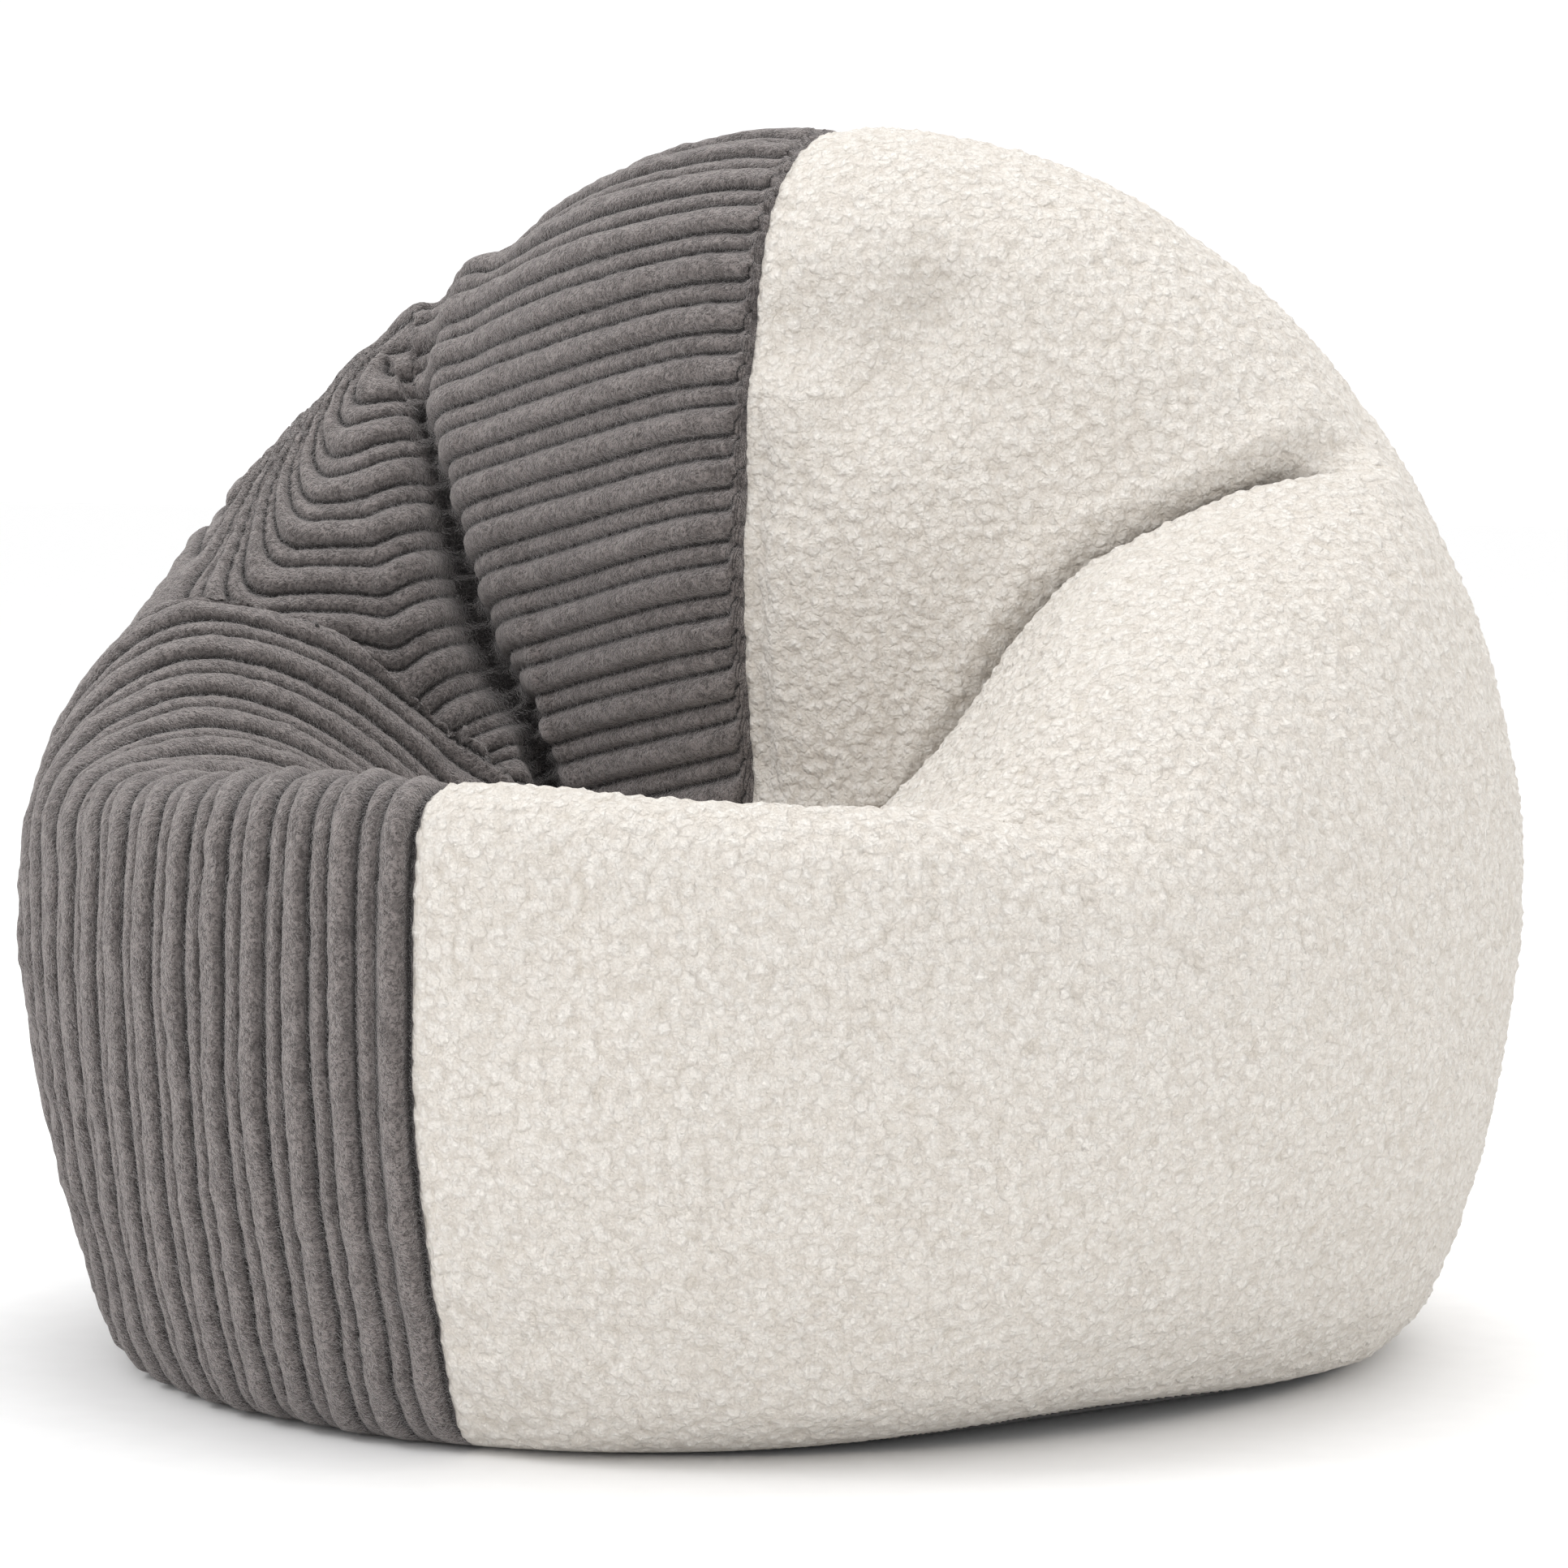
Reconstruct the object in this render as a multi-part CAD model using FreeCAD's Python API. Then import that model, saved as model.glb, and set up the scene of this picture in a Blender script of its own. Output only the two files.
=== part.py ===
"""Bean bag chair: a round bag with a seat pressed into its top and front, before a ball-like backrest.

The outer cover is sewn from two big side panels that meet on the middle plane X = 0, one of wide-rib
corduroy (-X) and one of boucle fleece (+X), and a round base panel in two halves that a zip joins. Inside
the cover lies a liner bag, and inside the liner the bead filling. Every layer is the same bag form, set in
by its depth under the cover, so the layers nest with a constant clearance.

Frame: millimetres, +Z up, origin on the floor under the middle of the bag, the sitter faces -Y.
"""

import math
import os

import FreeCAD
import Part

Vector = FreeCAD.Vector

# The bag as it stands, in use: a squat ball that rests on a flat, under a second ball that raises its top
bag_diameter = 900.0  # the widest girth, in X and in Y
girth_height = 245.0  # height of the widest girth above the floor
crown_radius = 418.0
crown_centre_height = 340.0

# The seat: a wide bowl pressed into the bag's top and front, and a deeper hollow in its middle
bowl_radius = 430.0
bowl_centre_y = -178.0
bowl_centre_height = 748.0
hollow_radius = 235.0
hollow_centre_y = -190.0
hollow_centre_height = 520.0

# The backrest: a ball of filling that the seat leaves standing
backrest_radius = 355.0
backrest_centre_y = 290.0
backrest_centre_height = 560.0

# The layers, from the outside in
cover_thickness = 4.0  # fabric with its pile
liner_thickness = 1.0
layer_clearance = 0.3

# The zip in the base
zip_length = 514.0  # between the stops' inner faces
tape_width = 14.0
tape_thickness = 0.6
tape_overrun = 12.0  # tape beyond each stop's inner face
coil_width = 3.0
coil_height = 3.0
coil_half_gap = 0.2  # each coil's distance from the middle plane
zip_clearance = 0.3
stop_length = 4.0
slot_side_room = 1.5  # between the slider's side and the base panels

# The zip's slider, a child-safe one with a lug and no puller
slider_length = 14.0
slider_plate = 0.9
slider_wall = 1.3
slider_lead = 5.0  # length of the wedge in its nose
slider_wedge_half_width = 1.7
slider_side_play = 0.8
lug_length = 5.0
lug_width = 2.6
lug_height = 1.3
lug_eye_radius = 0.45

# Worked-out levels and places
tape_bottom = cover_thickness + zip_clearance
tape_top = tape_bottom + tape_thickness
coil_middle = tape_bottom + tape_thickness / 2
coil_bottom = coil_middle - coil_height / 2
coil_top = coil_middle + coil_height / 2
coil_outer_x = coil_half_gap + coil_width
tape_inner_x = coil_outer_x + zip_clearance
zip_front = -zip_length / 2
zip_back = zip_length / 2
slider_back = zip_back - zip_clearance
slider_front = slider_back - slider_length
wedge_front = slider_back - slider_lead
slider_bottom = coil_bottom - zip_clearance - slider_plate
slider_top = coil_top + zip_clearance + slider_plate
flange_inner_x = coil_outer_x + slider_side_play
slider_half_width = flange_inner_x + slider_wall
slot_half_width = slider_half_width + slot_side_room
liner_floor = slider_top + layer_clearance
liner_inset = cover_thickness + layer_clearance
fill_inset = liner_inset + liner_thickness + layer_clearance
fill_floor = liner_floor + liner_thickness + layer_clearance
seam_radius = math.sqrt((bag_diameter / 2) ** 2 - girth_height**2)  # where the side panels meet the base


def box(x_low, x_high, y_low, y_high, z_low, z_high):
    """A box between two values on each axis."""
    return Part.makeBox(x_high - x_low, y_high - y_low, z_high - z_low, Vector(x_low, y_low, z_low))


def half_space(side):
    """Everything on one side of the middle plane: -1 is the corduroy side, +1 the fleece side."""
    reach = bag_diameter
    low, high = (-reach, 0.0) if side < 0 else (0.0, reach)
    return box(low, high, -reach, reach, -reach, reach)


def ball(radius, centre_y, centre_height, pole=Vector(1, 0, 0)):
    """A ball with its centre on the middle plane. Its pole points to where the ball is cut away."""
    return Part.makeSphere(radius, Vector(0, centre_y, centre_height), pole)


def bag_form(inset, floor=None):
    """The bag with its seat and backrest, set in by inset, and flat at floor or else at inset."""
    upright = Vector(0, 0, 1)
    bag = ball(bag_diameter / 2 - inset, 0, girth_height, upright)
    bag = bag.fuse(ball(crown_radius - inset, 0, crown_centre_height))
    seat = ball(bowl_radius + inset, bowl_centre_y, bowl_centre_height)
    seat = seat.fuse(ball(hollow_radius + inset, hollow_centre_y, hollow_centre_height))
    seat = seat.cut(ball(backrest_radius - inset, backrest_centre_y, backrest_centre_height, upright))
    reach = bag_diameter
    level = inset if floor is None else floor
    return bag.cut(seat).cut(box(-reach, reach, -reach, reach, -reach, level)).removeSplitter()


def side_panel(side):
    """One half of the cover above the base seam, as a shell."""
    shell = bag_form(0).cut(bag_form(cover_thickness))
    base_hole = Part.makeCylinder(seam_radius, 2 * cover_thickness, Vector(0, 0, -cover_thickness))
    return shell.common(half_space(side)).cut(base_hole)


def base_panel(side):
    """One half of the round base, beside the zip's slot. Past the zip's ends the halves meet."""
    disc = Part.makeCylinder(seam_radius - layer_clearance, cover_thickness)
    slot_end = zip_length / 2 + tape_overrun
    slot = box(-slot_half_width, slot_half_width, -slot_end, slot_end, -1, cover_thickness + 1)
    return disc.common(half_space(side)).cut(slot)


def liner_panel(side):
    """One half of the liner bag, under the side panel of the same side."""
    inner = bag_form(liner_inset + liner_thickness, liner_floor + liner_thickness)
    return bag_form(liner_inset, liner_floor).cut(inner).common(half_space(side))


def bead_fill():
    """The beads, as the one body that they make in the full liner."""
    return bag_form(fill_inset, fill_floor)


def mirrored(shape, side):
    """shape as drawn for +X, or its mirror image for -X."""
    return shape if side > 0 else shape.mirror(Vector(0, 0, 0), Vector(1, 0, 0))


def zip_tape(side):
    """One woven tape, laid on the inside of its half of the base."""
    end = zip_length / 2 + tape_overrun - zip_clearance
    return mirrored(box(tape_inner_x, tape_inner_x + tape_width, -end, end, tape_bottom, tape_top), side)


def zip_coil(side):
    """One half of the nylon coil, closed from the front stop to the slider's wedge."""
    y_low, y_high = zip_front + zip_clearance, wedge_front - zip_clearance
    bar = box(coil_half_gap, coil_outer_x, y_low, y_high, coil_bottom, coil_top)
    outer_edges = [e for e in bar.Edges if min(v.X for v in e.Vertexes) > coil_outer_x - 0.01]
    long_edges = [e for e in outer_edges if e.Length > coil_height * 2]
    return mirrored(bar.makeFillet(coil_height / 3, long_edges), side)


def zip_slider():
    """Two plates and a wedge at the nose, with flanges that leave the tapes room, and a lug for a paper clip."""
    half, length = slider_half_width, (slider_front, slider_back)
    lower = box(-half, half, *length, slider_bottom, slider_bottom + slider_plate)
    upper = box(-half, half, *length, slider_top - slider_plate, slider_top)
    wedge = Part.Face(
        Part.makePolygon(
            [
                Vector(0, wedge_front, slider_bottom),
                Vector(slider_wedge_half_width, slider_back, slider_bottom),
                Vector(-slider_wedge_half_width, slider_back, slider_bottom),
                Vector(0, wedge_front, slider_bottom),
            ]
        )
    ).extrude(Vector(0, 0, slider_top - slider_bottom))
    body = lower.fuse([upper, wedge])
    for side in (-1, 1):
        flange = box(flange_inner_x, half, *length, slider_bottom, slider_top)
        gap_levels = (tape_bottom - zip_clearance, tape_top + zip_clearance)
        tape_gap = box(0, half + 1, length[0] - 1, length[1] + 1, *gap_levels)
        body = body.fuse(mirrored(flange.cut(tape_gap), side))
    corners = [e for e in body.Edges if abs(e.tangentAt(e.FirstParameter).z) > 0.99]
    corners = [e for e in corners if abs(e.CenterOfMass.x) > half - 0.01]
    body = body.makeFillet(slider_wall * 0.9, corners)
    middle = (slider_front + slider_back) / 2
    lug_back = middle + lug_length / 2
    lug_bottom = slider_bottom - lug_height
    lug = box(-lug_width / 2, lug_width / 2, lug_back - lug_length, lug_back, lug_bottom, slider_bottom)
    eye_end = Vector(-lug_width, middle, slider_bottom - lug_height / 2)
    eye = Part.makeCylinder(lug_eye_radius, 2 * lug_width, eye_end, Vector(1, 0, 0))
    return body.fuse(lug).cut(eye).removeSplitter()


def end_stops():
    """The two small stops clamped behind the closed slider, one on each tape."""
    inner, outer = coil_half_gap, tape_inner_x - zip_clearance / 2
    one = box(inner, outer, zip_back, zip_back + stop_length, coil_bottom, coil_top)
    return Part.makeCompound([mirrored(one, side) for side in (-1, 1)])


def front_stop():
    """The stop that joins both tapes where the zip ends when it is open."""
    outer = tape_inner_x - zip_clearance / 2
    return box(-outer, outer, zip_front - stop_length, zip_front, coil_bottom, coil_top)


parts = {
    "corduroy_side_panel": side_panel(-1),
    "fleece_side_panel": side_panel(1),
    "base_panel_left": base_panel(-1),
    "base_panel_right": base_panel(1),
    "liner_panel_left": liner_panel(-1),
    "liner_panel_right": liner_panel(1),
    "bead_fill": bead_fill(),
    "zip_tape_left": zip_tape(-1),
    "zip_tape_right": zip_tape(1),
    "zip_coil_left": zip_coil(-1),
    "zip_coil_right": zip_coil(1),
    "zip_slider": zip_slider(),
    "zip_end_stops": end_stops(),
    "zip_front_stop": front_stop(),
}

os.makedirs("parts", exist_ok=True)
for name, shape in parts.items():
    if not shape.isValid() or not shape.Solids:
        raise ValueError(f"{name} isn't a valid solid")
    shape.exportStep(f"parts/{name}.step")
    size = shape.BoundBox
    extent = f"{size.XLength:.1f} x {size.YLength:.1f} x {size.ZLength:.1f} mm"
    print(f"{name}: {len(shape.Solids)} solid(s), {extent}, {shape.Volume / 1e6:.4f} l")
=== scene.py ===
"""Looks of the bean bag chair: plush wide-rib corduroy on one half, boucle fleece on the other."""

import math

import bpy
import numpy as np
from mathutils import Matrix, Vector


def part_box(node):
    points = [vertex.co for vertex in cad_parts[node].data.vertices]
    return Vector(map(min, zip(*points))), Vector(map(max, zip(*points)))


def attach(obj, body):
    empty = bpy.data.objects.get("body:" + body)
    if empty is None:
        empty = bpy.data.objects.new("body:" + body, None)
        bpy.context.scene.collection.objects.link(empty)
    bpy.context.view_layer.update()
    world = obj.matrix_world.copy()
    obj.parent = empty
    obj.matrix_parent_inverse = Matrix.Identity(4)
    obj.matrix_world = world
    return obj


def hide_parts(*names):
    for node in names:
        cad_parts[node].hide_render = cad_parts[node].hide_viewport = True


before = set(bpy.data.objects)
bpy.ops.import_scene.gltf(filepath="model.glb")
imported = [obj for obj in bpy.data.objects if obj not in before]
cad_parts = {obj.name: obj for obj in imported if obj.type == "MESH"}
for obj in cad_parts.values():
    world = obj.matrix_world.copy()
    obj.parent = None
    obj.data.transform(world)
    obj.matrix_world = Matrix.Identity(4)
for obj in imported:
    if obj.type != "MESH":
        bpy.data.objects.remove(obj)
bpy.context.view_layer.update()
rng = np.random.default_rng(7)

# ---------------------------------------------------------------- distance fields, in millimetres


def smin(a, b, k):
    h = np.clip(0.5 + 0.5 * (b - a) / k, 0, 1)
    return b * (1 - h) + a * h - k * h * (1 - h)


def smax(a, b, k):
    return -smin(-a, -b, k)


def ball(p, c, r):
    return np.linalg.norm(p - np.array(c, float), axis=-1) - r


def step(x, a, b):
    t = np.clip((x - a) / (b - a), 0, 1)
    return t * t * (3 - 2 * t)


# Heights of the seat, the rim and both arms at places (x, y)
SEAT = np.array(
    [
        # the front rim
        (0, -400, 378), (100, -395, 374), (-100, -395, 377), (180, -375, 371), (260, -330, 367),
        (330, -265, 360), (-180, -375, 370), (-260, -330, 366), (-330, -265, 388), (-375, -215, 450),
        # the hollow
        (0, -330, 345), (120, -310, 345), (-120, -310, 352), (0, -250, 305), (0, -180, 288),
        (0, -110, 290), (0, -40, 300), (90, -180, 300), (-90, -180, 305), (80, -60, 304), (-90, -60, 300),
        # the right arm along the backrest
        (116, -25, 335), (157, -27, 395), (174, -26, 424), (192, -23, 448), (215, -15, 471),
        (243, -3, 489), (270, 10, 506), (297, 25, 521), (331, 48, 536), (371, 78, 570),
        # the right arm further forward
        (180, -110, 400), (250, -110, 468), (320, -100, 495), (390, -90, 540), (200, -200, 352),
        (270, -200, 410), (340, -190, 440), (400, -160, 470), (230, -270, 352), (300, -250, 376),
        # the left arm's front pillow
        (-190, -50, 345), (-233, -80, 405), (-249, -92, 424), (-282, -116, 446), (-340, -165, 484),
        (-400, -100, 575), (-200, -180, 346), (-270, -200, 396), (-385, -165, 510), (-400, -150, 530),
        (-150, -120, 308),
        # the left arm's rear pillow along the backrest
        (-151, -17, 333), (-167, -25, 396), (-197, -21, 470), (-234, -3, 548), (-278, 32, 618),
        (-300, 100, 740), (-330, 60, 720), (-370, 60, 720), (-330, -20, 570), (-380, -20, 620),
        (300, 120, 590), (380, 150, 660), (0, 60, 310), (100, 60, 330), (-100, 60, 320),
    ],
    float,
)


def thin_plate(points, reach=480, pitch=4.0):
    """A smooth height grid through the points."""
    n = len(points)
    d = np.linalg.norm(points[:, None, :2] - points[None, :, :2], axis=-1) / 100
    k = np.where(d > 0, d * d * np.log(np.maximum(d, 1e-9)), 0) + np.eye(n) * 0.05
    a = np.zeros((n + 3, n + 3))
    a[:n, :n], a[:n, n], a[:n, n + 1 :] = k, 1, points[:, :2] / 100
    a[n:, :n] = a[:n, n:].T
    w = np.linalg.solve(a, np.r_[points[:, 2], 0, 0, 0])
    g = np.arange(-reach, reach + 1, pitch)
    x, y = np.meshgrid(g, g, indexing="ij")
    h = w[-3] + w[-2] * x / 100 + w[-1] * y / 100
    for (px, py, _), f in zip(points, w):
        d2 = ((x - px) ** 2 + (y - py) ** 2) / 1e4
        h += f * 0.5 * d2 * np.log(np.maximum(d2, 1e-12))
    return h


HEIGHT = thin_plate(SEAT)
slope_x, slope_y = np.gradient(HEIGHT, 4.0)
SLANT = 1 / np.sqrt(1 + np.minimum(slope_x**2 + slope_y**2, 25))


def sample(grid, x, y):
    u = np.clip((x + 480) / 4, 0, 239.999)
    v = np.clip((y + 480) / 4, 0, 239.999)
    i, j = u.astype(int), v.astype(int)
    a, b = u - i, v - j
    low = grid[i, j] * (1 - b) + grid[i, j + 1] * b
    high = grid[i + 1, j] * (1 - b) + grid[i + 1, j + 1] * b
    return low * (1 - a) + high * a


def fold_line(x, y):
    """How strong the left arm's fold is, and the distance past its ridge."""
    along = step(-x, 150, 205) * (1 - 0.25 * step(-x, 360, 430))
    ridge = -45 + 0.727 * (np.minimum(x, -190) + 190)
    return along, (y - ridge) * 0.81


def lap_fold(x, y):
    """Height lost at folds. The left arm's front pillow laps over the one behind it."""
    along, past = fold_line(x, y)
    drop = step(past, -1, 4) * np.exp(-np.maximum(past - 7, 0) / 55)
    lift = np.exp(-((past + 22) ** 2) / 700) * 7
    left = along * (74 * drop - 1.4 * lift)
    # On the right the front rim laps over the seat, and the lap fades out
    turn = np.arctan2(x, -y)
    along = step(turn, 0.15, 0.5) * (1 - step(turn, 0.8, 1.02))
    past = 414 - np.hypot(x, y)
    return left + along * 20 * step(past, 0, 14) * np.exp(-np.maximum(past - 14, 0) / 45)


def shell_parts(p):
    """The low part (rim, arms and seat) and the backrest, before they join."""
    x, y, z = p[..., 0], p[..., 1], p[..., 2]
    turn = np.arctan2(x, -y)  # 0 at the front, + to the right
    right = np.exp(-(((turn - 1.05) / 0.75) ** 2))
    out = smin(ball(p, (0, 0, 250), 443), ball(p, (0, 0, 340), 411), 90)
    out = smin(out, ball(p, (-8, -4, 195), 434), 30)
    r = np.hypot(x, y)
    out = smax(out, 0.888 * r - 0.459 * z - 322 - 60 * (1 - right), 30)
    u = 0.895 * x + 0.446 * y
    out = smax(out, -0.656 * u + 0.755 * z - 676, 60)
    h = (z - sample(HEIGHT, x, y) + lap_fold(x, y)) * sample(SLANT, x, y)
    face = ball(p, (0, 545, 480), 600)
    front = step(-y, 100, 330)
    low = smax(out, h, 150 - 100 * front - 85 * step(y, -80, 50))
    back = smax(out, face, 90)
    return low, back, right, h, face


def form(p):
    low, back, right, _, _ = shell_parts(p)
    f = smin(low, back, 4)
    return smax(f, -p[..., 2], 22 + 60 * right)


# ---------------------------------------------------------------- meshing, in numpy


def surface_nets(fn, low, high, h):
    """A quad mesh of the surface where fn is 0."""
    axes = [np.arange(a, b + h, h) for a, b in zip(low, high)]
    field = np.empty([len(a) for a in axes])
    for i, x in enumerate(axes[0]):
        y, z = np.meshgrid(axes[1], axes[2], indexing="ij")
        field[i] = fn(np.stack([np.full_like(y, x), y, z], -1))
    inside = field < 0
    n = np.array(field.shape)
    total = np.zeros(tuple(n - 1) + (3,))
    count = np.zeros(tuple(n - 1))

    def corner(c):
        return tuple(slice(c[a], c[a] + n[a] - 1) for a in range(3))

    for c in [(i, j, k) for i in (0, 1) for j in (0, 1) for k in (0, 1)]:
        for a in range(3):
            if c[a]:
                continue
            d = list(c)
            d[a] = 1
            f0, f1 = field[corner(c)], field[corner(d)]
            m = (f0 < 0) != (f1 < 0)
            t = np.where(m, f0 / np.where(m, f0 - f1, 1), 0)
            for b in range(3):
                total[..., b] += np.where(m, t if a == b else c[b], 0)
            count += m
    active = count > 0
    index = -np.ones(active.shape, int)
    index[active] = np.arange(active.sum())
    where = np.argwhere(active)
    verts = np.array([a[0] for a in axes]) + (where + total[active] / count[active][:, None]) * h
    quads = []
    for a in range(3):
        b, c = (a + 1) % 3, (a + 2) % 3
        s0, s1 = [slice(None)] * 3, [slice(None)] * 3
        s0[a], s1[a] = slice(0, n[a] - 1), slice(1, n[a])
        for s in (s0, s1):
            s[b], s[c] = slice(1, n[b] - 1), slice(1, n[c] - 1)
        m = inside[tuple(s0)] != inside[tuple(s1)]
        cell = np.argwhere(m)
        cell[:, b] += 1
        cell[:, c] += 1
        ring = []
        for db, dc in ((1, 1), (0, 1), (0, 0), (1, 0)):
            k = cell.copy()
            k[:, b] -= db
            k[:, c] -= dc
            ring.append(index[k[:, 0], k[:, 1], k[:, 2]])
        q = np.stack(ring, 1)
        flip = ~inside[tuple(s0)][m]
        q[flip] = q[flip][:, ::-1]
        quads.append(q)
    return verts, np.concatenate(quads)


def gradient(fn, p, e=0.5):
    g = np.empty_like(p)
    for i in range(3):
        d = np.zeros(3)
        d[i] = e
        g[:, i] = (fn(p + d) - fn(p - d)) / (2 * e)
    return g


def project(fn, verts, times, cap=4):
    """Moves each point onto the surface where fn is 0."""
    for _ in range(times):
        g = gradient(fn, verts)
        d = g * (fn(verts) / np.maximum((g * g).sum(1), 0.05))[:, None]
        length = np.linalg.norm(d, axis=1)
        verts = verts - d * np.minimum(1, cap / np.maximum(length, 1e-9))[:, None]
    return verts


def edges_of(quads):
    e = np.concatenate([quads[:, [i, (i + 1) % 4]] for i in range(4)])
    e = np.concatenate([e, e[:, ::-1]])
    key = np.unique(e[:, 0].astype(np.int64) * (quads.max() + 1) + e[:, 1])
    return np.stack([key // (quads.max() + 1), key % (quads.max() + 1)], 1)


def relax(values, edges, weight=0.5):
    """Moves each value towards the mean of its neighbours."""
    count = np.maximum(np.bincount(edges[:, 0], minlength=len(values)), 1)
    if values.ndim == 1:
        mean = np.bincount(edges[:, 0], values[edges[:, 1]], minlength=len(values)) / count
    else:
        mean = np.stack(
            [np.bincount(edges[:, 0], values[edges[:, 1], i], minlength=len(values)) / count for i in range(3)], 1
        )
    return values + weight * (mean - values)


def subdivide(quads, *arrays):
    """Splits each quad in four. Each array of vertex values gains the new vertices' means."""
    e = np.sort(np.concatenate([quads[:, [i, (i + 1) % 4]] for i in range(4)]), 1)
    count = len(arrays[0])
    key, inverse = np.unique(e[:, 0].astype(np.int64) * count + e[:, 1], return_inverse=True)
    a, b = key // count, key % count
    inverse = inverse.ravel().reshape(4, len(quads)) + count
    middle = np.arange(len(quads)) + count + len(key)
    new = [np.stack([quads[:, k], inverse[k], middle, inverse[(k - 1) % 4]], 1) for k in range(4)]
    grown = [np.concatenate([v, (v[a] + v[b]) / 2, v[quads].mean(1)]) for v in arrays]
    return (np.concatenate(new), *grown)


def normals_of(verts, quads):
    n = np.cross(verts[quads[:, 2]] - verts[quads[:, 0]], verts[quads[:, 3]] - verts[quads[:, 1]])
    total = np.zeros_like(verts)
    for k in range(4):
        for i in range(3):
            total[:, i] += np.bincount(quads[:, k], n[:, i], minlength=len(verts))
    return total / np.maximum(np.linalg.norm(total, axis=1), 1e-9)[:, None]


def distance_along(verts, quads, start, values, rounds):
    """Distance over the surface from the start vertices, by wavefront updates over triangles."""
    tris = np.concatenate([quads[:, [0, 1, 2]], quads[:, [0, 2, 3]]])
    corners = np.concatenate([tris, tris[:, [1, 2, 0]], tris[:, [2, 0, 1]]])
    c, a, b = corners.T
    e1, e2 = verts[a] - verts[c], verts[b] - verts[c]
    g11, g22, g12 = (e1 * e1).sum(1), (e2 * e2).sum(1), (e1 * e2).sum(1)
    det = np.maximum(g11 * g22 - g12 * g12, 1e-9)
    q11, q22, q12 = g22 / det, g11 / det, -g12 / det
    one = q11 + q22 + 2 * q12
    l1, l2 = np.sqrt(g11), np.sqrt(g22)
    far = 1e6
    dist = np.full(len(verts), far)
    dist[start] = values
    order = np.argsort(c, kind="stable")
    c, a, b, q11, q22, q12, one, l1, l2 = (v[order] for v in (c, a, b, q11, q22, q12, one, l1, l2))
    first = np.flatnonzero(np.r_[True, c[1:] != c[:-1]])
    owner = c[first]
    for _ in range(rounds):
        ta, tb = dist[a], dist[b]
        best = np.minimum(ta + l1, tb + l2)
        t1 = (q11 + q12) * ta + (q12 + q22) * tb
        t2 = q11 * ta * ta + 2 * q12 * ta * tb + q22 * tb * tb
        root = t1 * t1 - one * (t2 - 1)
        p = (t1 + np.sqrt(np.maximum(root, 0))) / one
        ok = (root >= 0) & (ta < far / 2) & (tb < far / 2)
        ok &= (q11 * (ta - p) + q12 * (tb - p) < 0) & (q12 * (ta - p) + q22 * (tb - p) < 0)
        best = np.where(ok, np.minimum(best, p), best)
        low = np.minimum.reduceat(best, first)
        new = dist.copy()
        new[owner] = np.minimum(dist[owner], low)
        if np.abs(new - dist).max() < 1e-4:
            break
        dist = new
    return dist


NOISE = rng.random((64, 64, 64))


def noise(p, size):
    """Smooth noise from -1 to 1 with features about size across."""
    q = p / size
    i = np.floor(q).astype(int)
    f = q - i
    f = f * f * (3 - 2 * f)
    i &= 63
    j = (i + 1) & 63
    total = 0
    for a in (0, 1):
        for b in (0, 1):
            for c in (0, 1):
                w = (f[:, 0] if a else 1 - f[:, 0]) * (f[:, 1] if b else 1 - f[:, 1]) * (f[:, 2] if c else 1 - f[:, 2])
                total = total + w * NOISE[(j if a else i)[:, 0], (j if b else i)[:, 1], (j if c else i)[:, 2]]
    return total * 2 - 1


JITTER = rng.random((32, 32, 32, 3))


def knots(p, size):
    """1 in the middle of a fabric knot, falling to 0 between knots."""
    q = p / size
    i = np.floor(q).astype(int)
    best = np.full(len(p), 9.0)
    for a in (-1, 0, 1):
        for b in (-1, 0, 1):
            for c in (-1, 0, 1):
                cell = i + (a, b, c)
                k = cell & 31
                d = ((cell + 0.15 + 0.7 * JITTER[k[:, 0], k[:, 1], k[:, 2]] - q) ** 2).sum(1)
                best = np.minimum(best, d)
    return np.clip(1 - np.sqrt(best) / 0.85, 0, 1)


# ---------------------------------------------------------------- the cover


def bumps(p, places):
    """Sum of soft bumps and dents: (x, y, z, width, height) each."""
    total = np.zeros(len(p))
    for x, y, z, width, height in places:
        total += height * np.exp(-((p - (x, y, z)) ** 2).sum(1) / (width * width))
    return total


def base_edge(x, y):
    """Radius of the base seam, smaller where the right of the bag curves up."""
    return 362 - 26 * np.exp(-(((np.arctan2(x, -y) - 1.05) / 0.75) ** 2))


def seam_mask(x, width):
    return np.exp(-((x / width) ** 2))


pitch = 5.0
side = (math.ceil(480 / pitch) + 0.5) * pitch
verts, quads = surface_nets(form, (-side, -side, -20.5), (side, side, 785), pitch)
middle = np.abs(verts[:, 0]) < pitch * 0.5
edges = edges_of(quads)
for _ in range(4):
    verts = relax(verts, edges)
    verts[middle, 0] = 0
    verts = project(form, verts, 2)
    verts[middle, 0] = 0

# Corduroy: a wide and a narrow rib in turn
WIDE, NARROW = 19.0, 13.0
# Where the ribs run: distance over the corduroy side from the front seam, floor to rim
centre = verts[quads].mean(1)
left_quads = quads[centre[:, 0] < 0]
crest = verts[middle & (verts[:, 1] < -300)][:, 2].max()
start = np.flatnonzero(middle & (verts[:, 1] < -300) & (verts[:, 2] > 1) & (verts[:, 2] < crest + 1))
start = start[verts[start, 1] < -388]
rounds = 420
rib_low = distance_along(verts, left_quads, start, 0, rounds)
_, _, _, h, face = shell_parts(verts)
foot = np.flatnonzero((np.abs(face) < 6) & (h > 4) & (verts[:, 2] < 385) & (verts[:, 0] < 1) & (verts[:, 1] < 60))
rib_high = distance_along(verts, left_quads, foot, 0.974 * verts[foot, 2] - 0.225 * verts[foot, 0], rounds)
rib_low[rib_low > 1e5] = 0
rib_high[rib_high > 1e5] = 0
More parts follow.
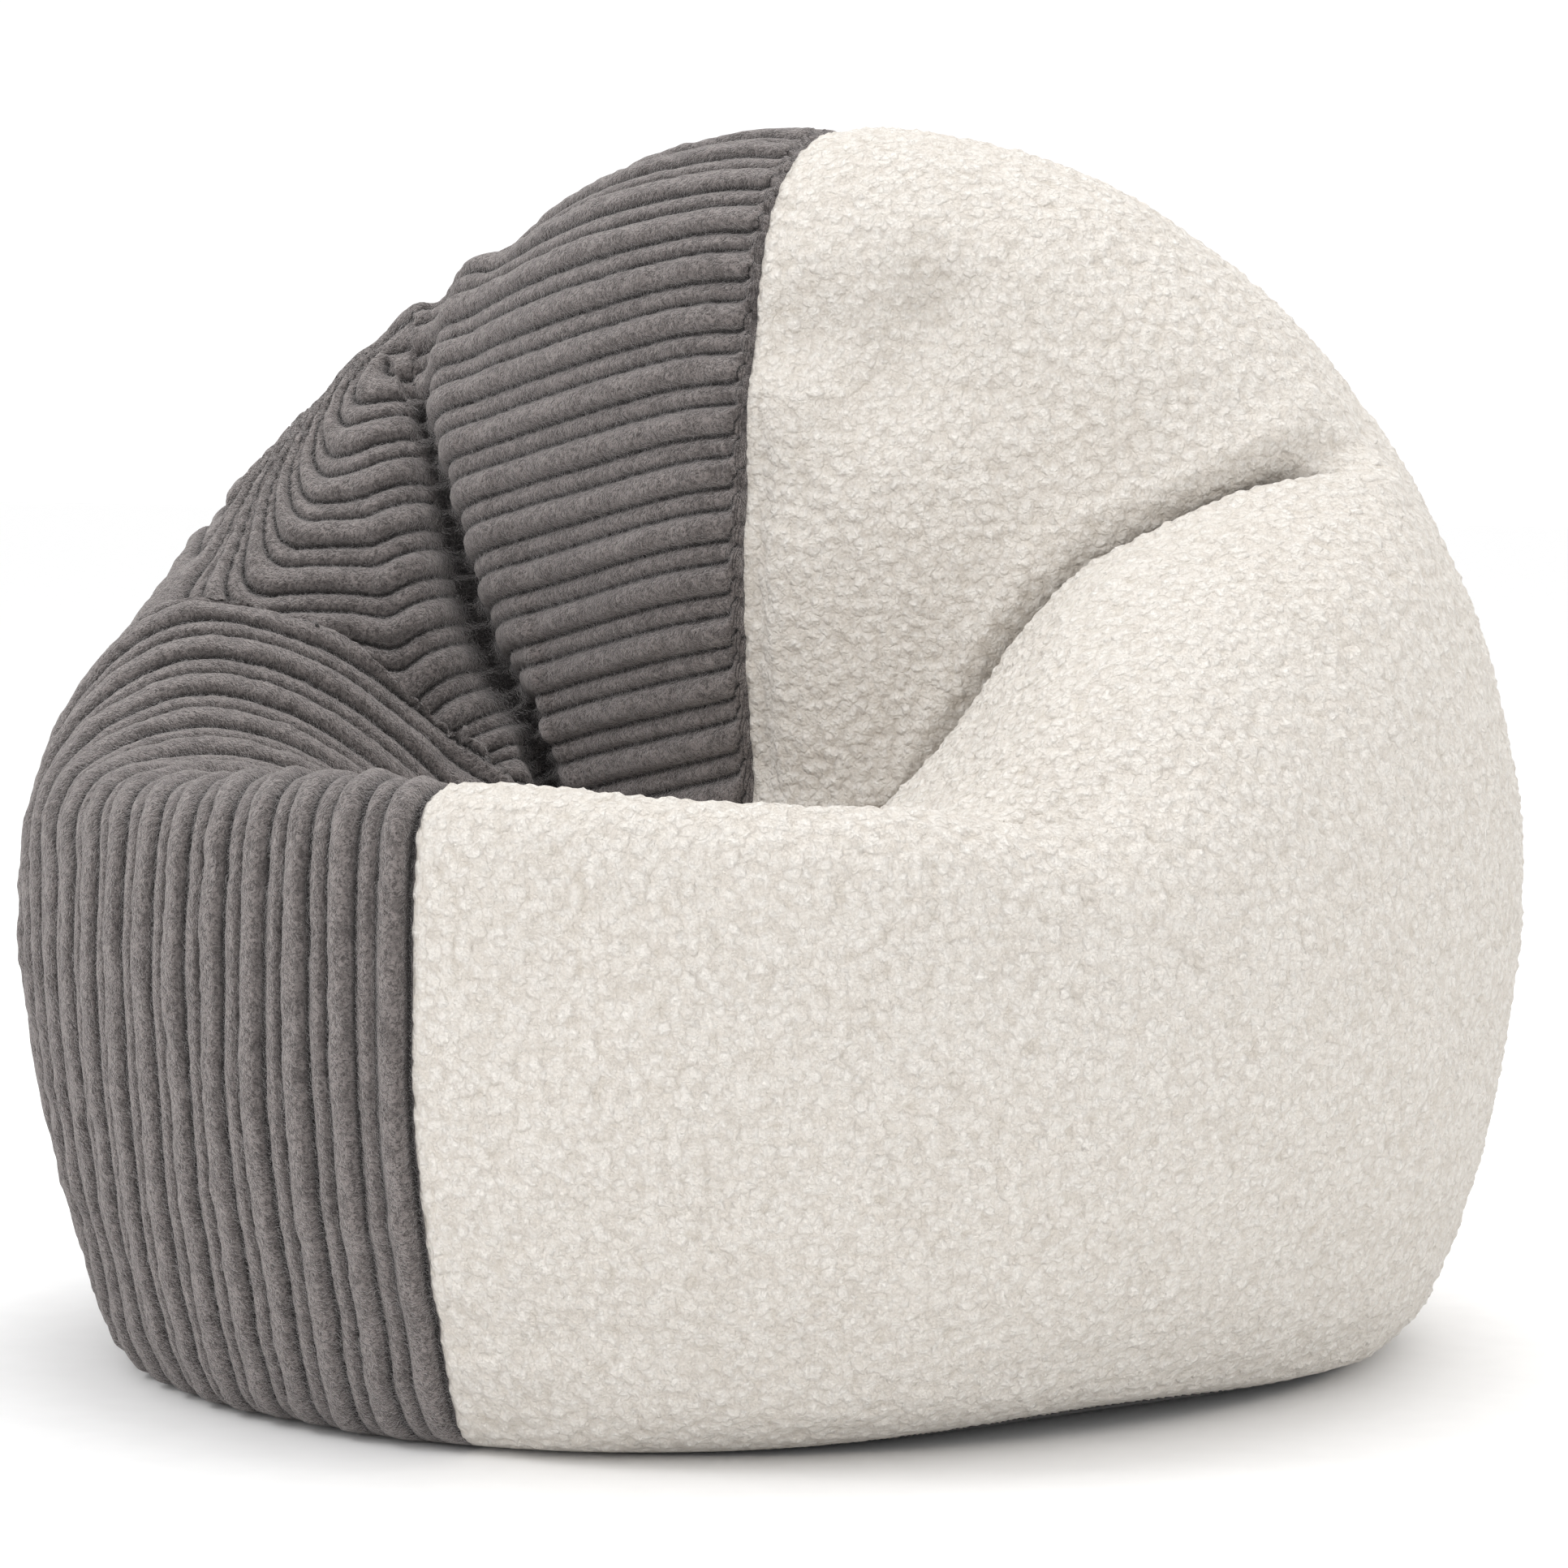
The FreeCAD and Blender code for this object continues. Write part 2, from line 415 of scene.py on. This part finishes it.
quads, verts, rib_low, rib_high, mid = subdivide(quads, verts, rib_low, rib_high, middle.astype(float))
mid = mid > 0.99
verts = project(form, verts, 1)
verts[mid, 0] = 0
edges = edges_of(quads)
for _ in range(8):
    rib_low = np.where(verts[:, 0] < -4, relax(rib_low, edges, 0.5), rib_low)
    rib_high = relax(rib_high, edges, 0.5)
_, _, _, h, face = shell_parts(verts)
outer = step(-h, 8, 60)
share = (1 - outer) * (face < 3) + outer * step(-face, -220, 60)
# The two distances meet with the least stretch when one is moved by whole pairs of ribs
rib_at = rib_low * (1 - share) + (rib_high - 11 * (WIDE + NARROW)) * share
normals = normals_of(verts, quads)
soft_normals = normals.copy()
for _ in range(3):
    soft_normals = relax(soft_normals, edges, 0.7)
soft_normals /= np.maximum(np.linalg.norm(soft_normals, axis=1), 1e-9)[:, None]

to_crease = np.sqrt(h * h + face * face)
x, y, z = verts.T
on_left = x < 0
up = step(z, 4, 40)

# The crease between the backrest and the arms, deeper on the corduroy side
gap = 1 - step(z, 470, 570)  # on the left the crease gapes low down and is shut higher up
depth = np.where(on_left, (14 + 13 * gap) * np.exp(-to_crease / (4 + 1.5 * gap)), 24 * np.exp(-to_crease / 3.6))
depth += 3 * np.exp(-to_crease / 20) - 6 * np.exp(-(((to_crease - 26) / 14) ** 2))
large = -depth * step(z, 250, 330)
# Painted shade: the colour is darkened far down in the crease and under the arm's fold, where shadow falls
fold, past = fold_line(x, y)
near_top = step(h, -30, -2)
fold = fold * step(z, 330, 380) * step(h, -50, -8) * (near_top * (face > h) + (1 - near_top) * step(face, 5, 110))
under_fold_shade = fold * np.exp(-(((past - 3) / 4) ** 2))
shade_width = np.where(on_left, 2.5 + 3 * gap, 7.0)
shade = np.where(on_left, 1, 1 - 0.45 * step(np.abs(z - 490), 40, 110))
painted_shade = np.exp(-((to_crease / shade_width) ** 2)) * step(z, 300, 345) * shade
painted_shade = np.maximum(painted_shade, 0.9 * under_fold_shade)

# Soft dents and swellings of the filling
large += bumps(
    verts,
    [
        (112, -30, 640, 26, -17), (98, -34, 606, 34, -12), (78, -38, 580, 44, -8), (150, -10, 590, 60, -6),
        (44, -45, 622, 26, -12), (20, -48, 618, 24, -8), (25, -52, 520, 30, -6),
        (70, -430, 270, 60, -6), (-246, 40, 664, 24, 20), (-226, 34, 668, 12, -10), (-268, 40, 640, 13, -10),
        (-215, 20, 600, 30, -5), (-285, 56, 634, 20, 13),
        (200, 60, 690, 70, 4), (-120, -20, 660, 70, 5), (-60, -45, 450, 60, 5), (330, -180, 260, 120, 6),
        (-330, -200, 250, 110, 6), (250, 330, 420, 130, -7), (-220, 360, 430, 120, -8), (60, 420, 300, 120, 6),
        (-400, 120, 330, 90, -7), (420, 60, 330, 90, 5), (0, 400, 560, 120, -5),
    ],
)
large += 3.2 * noise(verts + 900, 150) + 1.5 * noise(verts + 300, 62)
# Slack wrinkles near the floor and towards the base seam
slack = np.exp(-(((z - 60) / 60) ** 2)) * step(z, 6, 26)
large += slack * 2.4 * noise(verts * (0.35, 0.35, 1.7) + 77, 34)
# The side panels pull in at the middle seam, the fleece most where the back presses
large -= (3.5 * seam_mask(x, 4) + 4 * seam_mask(x, 26)) * up
large -= 8 * seam_mask(x - 9, 9) * (np.abs(face) < 3) * step(z, 320, 360) * (1 - step(z, 540, 600))
# At the base seam the cover meets the flat base panel
free = np.where(z < 60, step(np.hypot(x, y) - base_edge(x, y), 1, 28), 1)
large *= free
verts = verts + soft_normals * large[:, None]

# Each rib is round, with a narrow valley between two
wander = 2.2 * noise(verts + 40, 170) + 0.9 * noise(verts + 11, 48)
rib_at = rib_at + np.where(on_left, wander * step(-x, 0, 60), 0) + 16 * fold * step(past, 1, 4)
in_pair = np.mod(rib_at - 3, WIDE + NARROW)
wide = in_pair < WIDE
across = np.where(wide, in_pair / WIDE, (in_pair - WIDE) / NARROW) * 2 - 1
crown = (1 - np.abs(across) ** 2.6) ** 0.62
tall = np.where(wide, 8.6, 5.4)
pile = 1.3 * noise(verts, 16) + 0.9 * noise(verts + 500, 7)
ribs = tall * crown - 6.6 + pile * np.where(wide, 0.25 + 0.75 * crown, 0.4)
ribs *= 0.6 + 0.4 * step(-x, 0, 5)
# Fleece: knots of boucle yarn
curl = 0.7 * knots(verts, 9.0) + 0.3 * knots(verts + 200, 5.5)
boucle = 4.4 * curl + 0.5 * noise(verts + 70, 21) - 1.6
fine = np.where(on_left, ribs, boucle)
flat = step(z, 0.5, 9)
verts = verts + soft_normals * (fine * free * np.where(z < 9, 0.12 + 0.88 * flat, 1))[:, None]
verts[mid, 0] = 0
verts[:, 2] = np.maximum(verts[:, 2], 0)
normals = normals_of(verts, quads)


def make_mesh(name, points, faces, attributes=()):
    """A smooth mesh object from points in millimetres."""
    used, index = np.unique(faces.ravel(), return_inverse=True)
    faces = index.reshape(faces.shape)
    points = points[used] / 1000
    mesh = bpy.data.meshes.new(name)
    mesh.vertices.add(len(points))
    mesh.vertices.foreach_set("co", points.astype(np.float32).ravel())
    mesh.loops.add(faces.size)
    mesh.loops.foreach_set("vertex_index", faces.astype(np.int32).ravel())
    mesh.polygons.add(len(faces))
    mesh.polygons.foreach_set("loop_start", np.arange(0, faces.size, faces.shape[1], dtype=np.int32))
    mesh.update(calc_edges=True)
    mesh.polygons.foreach_set("use_smooth", np.ones(len(faces), bool))
    for key, values in attributes:
        layer = mesh.attributes.new(key, "FLOAT", "POINT")
        layer.data.foreach_set("value", values[used].astype(np.float32))
    obj = bpy.data.objects.new(name, mesh)
    bpy.context.scene.collection.objects.link(obj)
    return obj


def hem(points, normal, faces, depth, extra=()):
    """Adds a turned-in edge along the open border of the faces. Extra arrays of vertex values grow with it."""
    e = np.concatenate([faces[:, [i, (i + 1) % 4]] for i in range(4)])
    n = int(faces.max()) + 1
    key = e[:, 0].astype(np.int64) * n + e[:, 1]
    other = e[:, 1].astype(np.int64) * n + e[:, 0]
    border = e[~np.isin(key, other)]
    loop = np.unique(border)
    place = np.zeros(len(points), int)
    place[loop] = np.arange(len(loop)) + len(points)
    inner = points[loop] - normal[loop] * depth
    rim = np.stack([border[:, 1], border[:, 0], place[border[:, 0]], place[border[:, 1]]], 1)
    grown = [np.concatenate([v, v[loop]]) for v in extra]
    return np.concatenate([points, inner]), np.concatenate([faces, rim]), grown


HEM = 5.0  # depth of the cover's turned-in edge

# The base seam: the cover's lowest edge lies beside the edge of the round base panel
centre = verts[quads].mean(1)
is_base = (centre[:, 2] < 30) & (np.hypot(centre[:, 0], centre[:, 1]) < base_edge(centre[:, 0], centre[:, 1]))
edge = np.intersect1d(np.unique(quads[is_base]), np.unique(quads[~is_base]))
to_edge = base_edge(verts[edge, 0], verts[edge, 1]) / np.hypot(verts[edge, 0], verts[edge, 1])
verts[edge, :2] *= to_edge[:, None]
covers = {}
for name, pick in (("corduroy_cover", centre[:, 0] < 0), ("fleece_cover", centre[:, 0] >= 0)):
    values = [rib_at, np.where(on_left, crown, curl), painted_shade]
    points, faces, extra = hem(verts, normals, quads[pick & ~is_base], HEM, values)
    covers[name] = make_mesh(name, points, faces, list(zip(("rib_at", "crown", "painted_shade"), extra)))
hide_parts("corduroy_side_panel")
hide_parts("fleece_side_panel")
for cover in covers.values():
    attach(cover, "bag")

# ---------------------------------------------------------------- the base, the liner and the filling


def disc_half(side, z_low, z_high, slot_x, slot_y):
    """Half of the round base panel as a sheet of fabric that follows the bag's underside, beside the zip."""
    rings = np.r_[0.0, np.linspace(30, 372, 40)]
    pts, faces = [], []
    columns = 96
    for i, r in enumerate(rings):
        for j in range(columns + 1):
            a = math.pi * j / columns
            reach = r * (base_edge(side * math.sin(a), -math.cos(a)) - 0.6) / 372
            px, py = side * reach * math.sin(a), -reach * math.cos(a)
            if abs(py) < slot_y:
                px = side * max(abs(px), slot_x)
            pts.append((px, py))
    pts = np.array(pts)
    for i in range(len(rings) - 1):
        for j in range(columns):
            a, b = i * (columns + 1) + j, (i + 1) * (columns + 1) + j
            faces.append((a, b, b + 1, a + 1))
    faces = np.array(faces)
    bottom = np.column_stack([pts, np.full(len(pts), z_low)])
    lift = underside(bottom)
    bottom[:, 2] = np.maximum(lift, z_low)
    # Slight unevenness of the cloth, away from the middle
    r = np.hypot(pts[:, 0], pts[:, 1])
    bottom[:, 2] += 0.15 * noise(bottom * (1, 1, 0) + 5, 30) * (r > 20) + 0.15
    top = bottom + (0, 0, z_high - z_low)
    return faces, bottom, top


def underside(points):
    """Height of the bag's surface above the floor at each place near its base."""
    z = np.full(len(points), 0.0)
    lo, hi = np.full(len(points), -2.0), np.full(len(points), 90.0)
    for _ in range(16):
        z = (lo + hi) / 2
        f = form(np.column_stack([points[:, :2], z]))
        inside = f < 0
        hi = np.where(inside, z, hi)
        lo = np.where(inside, lo, z)
    return np.where(hi > 89, 0, z)


slider_low, slider_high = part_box("zip_slider")
panel_low, panel_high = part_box("base_panel_left")
tape_low, tape_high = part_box("zip_tape_right")
slot_x = slider_high.x * 1000 + 1.5
slot_y = tape_high.y * 1000 + 0.3
for side, name, node in ((-1, "base_left", "base_panel_left"), (1, "base_right", "base_panel_right")):
    faces, bottom, top = disc_half(side, panel_low.z * 1000, panel_high.z * 1000 - 0.6, slot_x, slot_y)
    n = len(bottom)
    if side > 0:
        under, over = faces, faces[:, ::-1] + n
    else:
        under, over = faces[:, ::-1], faces + n
    both = np.concatenate([under, over])
    e = np.concatenate([under[:, [i, (i + 1) % 4]] for i in range(4)])
    key, back_key = e[:, 0].astype(np.int64) * n + e[:, 1], e[:, 1].astype(np.int64) * n + e[:, 0]
    border = e[~np.isin(key, back_key)]
    rim = np.stack([border[:, 1], border[:, 0], border[:, 0] + n, border[:, 1] + n], 1)
    piece = make_mesh(name, np.concatenate([bottom, top]), np.concatenate([both, rim]))
    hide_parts(node)
    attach(piece, "bag")
    covers[name] = piece

# The liner lies under the cover, and the beads fill the liner. Both follow the visible form, set in.
coarse = 12.0
side_c = (math.ceil(470 / coarse) + 0.5) * coarse
fill_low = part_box("bead_fill")[0].z * 1000
liner_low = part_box("liner_panel_left")[0].z * 1000


def inset_form(inset, floor):
    def fn(p):
        low, back, right, h, face = shell_parts(p)
        f = smin(low, back, 7) + inset + 60 * np.exp(-np.sqrt(h * h + face * face) / 55)
        return smax(f, floor - p[..., 2], 12)

    return fn


def inner_mesh(inset, floor):
    fn = inset_form(inset, floor)
    v, q = surface_nets(fn, (-side_c, -side_c, -20.5), (side_c, side_c, 785), coarse)
    flat_middle = np.abs(v[:, 0]) < coarse * 0.5
    e = edges_of(q)
    for _ in range(3):
        v = relax(v, e)
        v[flat_middle, 0] = 0
        v = project(fn, v, 2)
        v[flat_middle, 0] = 0
    q, v, m = subdivide(q, v, flat_middle.astype(float))
    v = project(fn, v, 1)
    v[m > 0.99, 0] = 0
    v[:, 2] = np.maximum(v[:, 2], floor)
    return v, q


INSET = 32.0  # the liner under the visible form, clear of its ribs and creases
liner_verts, liner_quads = inner_mesh(INSET, liner_low)
liner_normals = normals_of(liner_verts, liner_quads)
mid_x = liner_verts[liner_quads].mean(1)[:, 0]
crumple = 1.3 * noise(liner_verts + 31, 40) + 0.6 * noise(liner_verts + 9, 17)
liner_verts = liner_verts + liner_normals * np.minimum(crumple, 1.5)[:, None]
liner_verts[:, 2] = np.maximum(liner_verts[:, 2], liner_low)
for name, node, pick in (
    ("liner_left", "liner_panel_left", mid_x < 0),
    ("liner_right", "liner_panel_right", mid_x >= 0),
):
    points, faces, _ = hem(liner_verts, liner_normals, liner_quads[pick], 1.0)
    piece = make_mesh(name, points, faces)
    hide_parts(node)
    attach(piece, "bag")
    covers[name] = piece

fill_verts, fill_quads = inner_mesh(INSET + 5, fill_low)
fill_normals = normals_of(fill_verts, fill_quads)
fill_verts = fill_verts + fill_normals * (0.9 * knots(fill_verts, 14) - 0.5)[:, None]
fill_verts[:, 2] = np.maximum(fill_verts[:, 2], fill_low)
beads = make_mesh("beads", fill_verts, fill_quads)
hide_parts("bead_fill")
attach(beads, "bag")

# ---------------------------------------------------------------- materials


class Nodes:
    """Short calls for building one material's nodes."""

    def __init__(self, name):
        self.material = bpy.data.materials.new(name)
        self.material.use_nodes = True
        self.tree = self.material.node_tree
        self.tree.nodes.clear()
        self.out = self.add("ShaderNodeOutputMaterial")
        self.shader = self.add("ShaderNodeBsdfPrincipled")
        self.tree.links.new(self.shader.outputs[0], self.out.inputs[0])
        self.place = self.add("ShaderNodeTexCoord").outputs["Object"]

    def add(self, kind, **settings):
        node = self.tree.nodes.new(kind)
        for key, value in settings.items():
            setattr(node, key, value)
        return node

    def link(self, source, target):
        if isinstance(source, (int, float, tuple)):
            target.default_value = source
        else:
            self.tree.links.new(source, target)

    def noise(self, scale, detail=3.0, rough=0.6, distortion=0.0):
        node = self.add("ShaderNodeTexNoise")
        self.link(self.place, node.inputs["Vector"])
        node.inputs["Scale"].default_value = scale
        node.inputs["Detail"].default_value = detail
        node.inputs["Roughness"].default_value = rough
        node.inputs["Distortion"].default_value = distortion
        return node.outputs["Fac"]

    def cells(self, scale, at=None):
        node = self.add("ShaderNodeTexVoronoi", feature="F1")
        self.link(at if at is not None else self.place, node.inputs["Vector"])
        node.inputs["Scale"].default_value = scale
        return node.outputs["Distance"]

    def math(self, operation, a, b=0.0):
        node = self.add("ShaderNodeMath", operation=operation)
        self.link(a, node.inputs[0])
        self.link(b, node.inputs[1])
        return node.outputs[0]

    def remap(self, value, low, high, to_low=0.0, to_high=1.0):
        node = self.add("ShaderNodeMapRange")
        self.link(value, node.inputs["Value"])
        for key, v in (("From Min", low), ("From Max", high), ("To Min", to_low), ("To Max", to_high)):
            node.inputs[key].default_value = v
        return node.outputs["Result"]

    def mix(self, factor, a, b):
        node = self.add("ShaderNodeMix", data_type="RGBA")
        self.link(factor, node.inputs["Factor"])
        self.link(a, node.inputs["A"])
        self.link(b, node.inputs["B"])
        return node.outputs["Result"]

    def bump(self, height, strength, distance, normal=None):
        node = self.add("ShaderNodeBump")
        node.inputs["Strength"].default_value = strength
        node.inputs["Distance"].default_value = distance
        self.link(height, node.inputs["Height"])
        if normal is not None:
            self.link(normal, node.inputs["Normal"])
        return node.outputs["Normal"]

    def value(self, name):
        return self.add("ShaderNodeAttribute", attribute_name=name).outputs["Fac"]

    def set(self, **sockets):
        for key, value in sockets.items():
            self.link(value, self.shader.inputs[key.replace("_", " ")])
        return self.material


def corduroy():
    m = Nodes("corduroy")
    pile = m.noise(430, 2, 0.7, 0.9)
    fibres = m.noise(1500, 1.5, 0.7)
    strokes = m.noise(85, 3, 0.6, 1.5)
    crown = m.value("crown")
    # Pile tone that varies at random, and partly painted shade and light: darker in the gaps between tufts and lighter
    # on their tips, where the pile's bump is high
    base = m.mix(m.remap(pile, 0.41, 0.57), (0.06, 0.051, 0.049, 1), (0.27, 0.238, 0.228, 1))
    base = m.mix(m.remap(fibres, 0.42, 0.66, 0.0, 0.6), base, (0.34, 0.305, 0.295, 1))
    base = m.mix(m.remap(strokes, 0.45, 0.62, 0.0, 0.5), base, (0.055, 0.047, 0.045, 1))
    at = m.math("FLOORED_MODULO", m.math("SUBTRACT", m.value("rib_at"), 3.0), WIDE + NARROW)
    to_end = m.math("MINIMUM", at, m.math("SUBTRACT", WIDE + NARROW, at))
    to_valley = m.math("MINIMUM", to_end, m.math("ABSOLUTE", m.math("SUBTRACT", at, WIDE)))
    # Painted shade: the colour darkens down each rib's sides towards the valley, more where the crown is low, with a
    # near-black painted shadow line along each valley
    base = m.mix(m.remap(to_valley, 1.5, 6.0, 0.4, 0.0), base, (0.03, 0.025, 0.024, 1))
    base = m.mix(m.remap(crown, 0.05, 0.55, 0.6, 0.0), base, (0.014, 0.0115, 0.011, 1))
    base = m.mix(m.remap(to_valley, 0.5, 2.2, 0.97, 0.0), base, (0.006, 0.005, 0.005, 1))
    # Painted shade: near-black colour in the crease and under the left arm's fold
    base = m.mix(m.remap(m.value("painted_shade"), 0.1, 0.8, 0.0, 0.95), base, (0.004, 0.0035, 0.0035, 1))
    height = m.math("ADD", pile, m.math("MULTIPLY", fibres, 0.35))
    m.set(Base_Color=base, Roughness=0.95, Normal=m.bump(height, 0.9, 0.0045))
    m.set(Sheen_Weight=0.8, Sheen_Roughness=0.42, Sheen_Tint=(0.78, 0.74, 0.73, 1))
    return m.set(Specular_IOR_Level=0.12)


def fleece():
    m = Nodes("boucle_fleece")
    warp = m.add("ShaderNodeTexNoise")
    m.link(m.place, warp.inputs["Vector"])
    warp.inputs["Scale"].default_value = 230
    warp.inputs["Detail"].default_value = 1
    shift = m.add("ShaderNodeVectorMath", operation="SCALE")
    m.link(warp.outputs["Color"], shift.inputs[0])
    shift.inputs["Scale"].default_value = 0.0075
    at = m.add("ShaderNodeVectorMath", operation="ADD")
    m.link(m.place, at.inputs[0])
    m.link(shift.outputs[0], at.inputs[1])
    at = at.outputs[0]
    curls = m.cells(150, at=at)
    threads = m.noise(620, 2, 0.7, 1.4)
    patches = m.noise(9, 2, 0.55)
    # Painted shade: the colour darkens towards the edge of each curl, where shade falls between curls
    base = m.mix(m.remap(curls, 0.12, 0.75), (0.88, 0.84, 0.785, 1), (0.72, 0.665, 0.60, 1))
    base = m.mix(m.remap(threads, 0.46, 0.72, 0.0, 0.4), base, (0.90, 0.87, 0.83, 1))
    base = m.mix(m.remap(patches, 0.35, 0.7, 0.0, 0.12), base, (0.80, 0.765, 0.71, 1))
    # Painted shade: darker where the knots are low, in the gaps between knots
    base = m.mix(m.remap(m.value("crown"), 0.02, 0.3, 0.5, 0.0), base, (0.60, 0.54, 0.46, 1))
    # Painted shade: dark brown colour in the crease
    base = m.mix(m.remap(m.value("painted_shade"), 0.15, 0.95, 0.0, 0.85), base, (0.075, 0.055, 0.035, 1))
    height = m.math("ADD", m.math("MULTIPLY", curls, -1.0), m.math("MULTIPLY", threads, 0.35))
    m.set(Base_Color=base, Roughness=0.92, Normal=m.bump(height, 0.9, 0.0046))
    m.set(Sheen_Weight=0.15, Sheen_Roughness=0.5, Sheen_Tint=(1.0, 0.98, 0.95, 1))
    return m.set(Specular_IOR_Level=0.15)


def woven(name, dark, light, scale, distance):
    """A plain weave: two crossed sets of threads."""
    m = Nodes(name)
    bands = []
    for direction in ("X", "Y"):
        wave = m.add("ShaderNodeTexWave", bands_direction=direction, wave_profile="SIN")
        m.link(m.place, wave.inputs["Vector"])
        wave.inputs["Scale"].default_value = scale
        wave.inputs["Distortion"].default_value = 0.35
        wave.inputs["Detail"].default_value = 1.5
        bands.append(wave.outputs["Fac"])
    weave = m.math("MULTIPLY", bands[0], bands[1])
    slubs = m.noise(60, 4, 0.6, 0.6)
    base = m.mix(m.remap(weave, 0.1, 0.8), dark, light)
    base = m.mix(m.remap(slubs, 0.4, 0.7, 0.0, 0.35), base, light)
    normal = m.bump(weave, 0.6, distance)
    normal = m.bump(slubs, 0.3, 0.0015, normal)
    return m.set(Base_Color=base, Roughness=0.8, Normal=normal, Sheen_Weight=0.15)


def bead_look():
    m = Nodes("polystyrene_beads")
    cells = m.cells(260)
    # Painted shade: the white colour greys towards each bead's edge, where shade falls between beads
    base = m.mix(m.remap(cells, 0.1, 0.7), (0.86, 0.87, 0.88, 1), (0.42, 0.43, 0.45, 1))
    base = m.mix(m.remap(m.noise(40), 0.4, 0.7, 0.0, 0.2), base, (0.74, 0.75, 0.77, 1))
    normal = m.bump(m.math("MULTIPLY", cells, -1.0), 0.9, 0.003)
    return m.set(Base_Color=base, Roughness=0.55, Normal=normal, Subsurface_Weight=0.1)


def coil_look():
    m = Nodes("nylon_coil")
    wave = m.add("ShaderNodeTexWave", bands_direction="Y", wave_profile="SIN")
    m.link(m.place, wave.inputs["Vector"])
    wave.inputs["Scale"].default_value = 230
    base = m.mix(m.remap(wave.outputs["Fac"], 0.15, 0.8), (0.006, 0.006, 0.006, 1), (0.055, 0.053, 0.052, 1))
    base = m.mix(m.remap(m.noise(900), 0.5, 0.8, 0.0, 0.3), base, (0.09, 0.088, 0.085, 1))
    return m.set(Base_Color=base, Roughness=0.38, Normal=m.bump(wave.outputs["Fac"], 0.9, 0.0009))


def metal_look():
    m = Nodes("slider_metal")
    wear = m.noise(900, 4, 0.7)
    cast = m.noise(260, 3, 0.5)
    base = m.mix(m.remap(wear, 0.35, 0.75), (0.035, 0.034, 0.034, 1), (0.075, 0.073, 0.072, 1))
    m.set(Base_Color=base, Roughness=m.remap(wear, 0.3, 0.7, 0.5, 0.28), Normal=m.bump(cast, 0.25, 0.0003))
    return m.set(Metallic=0.85)


looks = {
    "corduroy": corduroy(),
    "fleece": fleece(),
    "base_cloth": woven("base_cloth", (0.016, 0.015, 0.015, 1), (0.05, 0.048, 0.047, 1), 190, 0.0008),
    "liner_cloth": woven("liner_cloth", (0.52, 0.51, 0.49, 1), (0.78, 0.77, 0.75, 1), 230, 0.0006),
    "beads": bead_look(),
    "zip_tape": woven("zip_tape", (0.01, 0.01, 0.01, 1), (0.045, 0.044, 0.043, 1), 420, 0.0004),
    "zip_coil": coil_look(),
    "zip_metal": metal_look(),
}


def dress(obj, look):
    obj.data.materials.clear()
    obj.data.materials.append(looks[look])


dress(covers["corduroy_cover"], "corduroy")
dress(covers["fleece_cover"], "fleece")
for name in ("base_left", "base_right"):
    dress(covers[name], "base_cloth")
for name in ("liner_left", "liner_right"):
    dress(covers[name], "liner_cloth")
dress(beads, "beads")
for node, look in (
    ("zip_tape_left", "zip_tape"),
    ("zip_tape_right", "zip_tape"),
    ("zip_coil_left", "zip_coil"),
    ("zip_coil_right", "zip_coil"),
    ("zip_slider", "zip_metal"),
    ("zip_end_stops", "zip_metal"),
    ("zip_front_stop", "zip_metal"),
):
    dress(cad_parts[node], look)

# ---------------------------------------------------------------- floor, light and camera


def floor_look():
    m = Nodes("pale_floor")
    grain = m.noise(35, 3, 0.5)
    base = m.mix(m.remap(grain, 0.3, 0.7), (0.93, 0.93, 0.93, 1), (0.95, 0.95, 0.95, 1))
    return m.set(Base_Color=base, Roughness=0.9, Specular_IOR_Level=0.1)


floor_mesh = bpy.data.meshes.new("floor")
size = 14.0  # metres from the middle to each side
floor_mesh.from_pydata([(-size, -size, 0), (size, -size, 0), (size, size, 0), (-size, size, 0)], [], [(0, 1, 2, 3)])
floor_obj = bpy.data.objects.new("floor", floor_mesh)
bpy.context.scene.collection.objects.link(floor_obj)
floor_obj.location.z = -0.0005
floor_mesh.materials.append(floor_look())

world = bpy.data.worlds.new("studio")
bpy.context.scene.world = world
world.use_nodes = True
world.node_tree.nodes["Background"].inputs[0].default_value = (1.0, 1.0, 1.0, 1)
world.node_tree.nodes["Background"].inputs[1].default_value = 1.06
bpy.context.scene.view_settings.view_transform = "Standard"


def soft_light(name, place, aim, size, power):
    data = bpy.data.lights.new(name, "AREA")
    data.shape = "RECTANGLE"
    data.size, data.size_y = size
    data.energy = power
    obj = bpy.data.objects.new(name, data)
    bpy.context.scene.collection.objects.link(obj)
    obj.location = place
    obj.rotation_euler = (Vector(aim) - Vector(place)).to_track_quat("-Z", "Y").to_euler()


soft_light("key", (-1.9, -2.0, 2.9), (0, 0, 0.35), (1.3, 1.3), 30)
soft_light("fill", (2.4, -2.4, 1.6), (0, 0, 0.35), (2.2, 1.8), 8)
soft_light("top", (0.2, 0.5, 3.4), (0, 0, 0.3), (2.4, 2.4), 40)

azimuth, elevation, distance = math.radians(26.5), math.radians(4.65), 3.211
aim = Vector((0, 0, 0.35))
away = Vector(
    (math.sin(azimuth) * math.cos(elevation), -math.cos(azimuth) * math.cos(elevation), math.sin(elevation))
)
camera_data = bpy.data.cameras.new("camera")
camera_data.sensor_fit = "HORIZONTAL"
camera_data.sensor_width = 36.0
# One metre at the aim point is 2013.2 of the frame's 1932 units
camera_data.lens = 36.0 * 2013.2 * distance / 1932
camera_data.shift_x = 8 / 1932
camera_data.shift_y = -17 / 1932
camera_data.clip_end = 60
camera = bpy.data.objects.new("camera", camera_data)
bpy.context.scene.collection.objects.link(camera)
camera.location = aim + away * distance
camera.rotation_euler = (-away).to_track_quat("-Z", "Y").to_euler()
bpy.context.scene.camera = camera
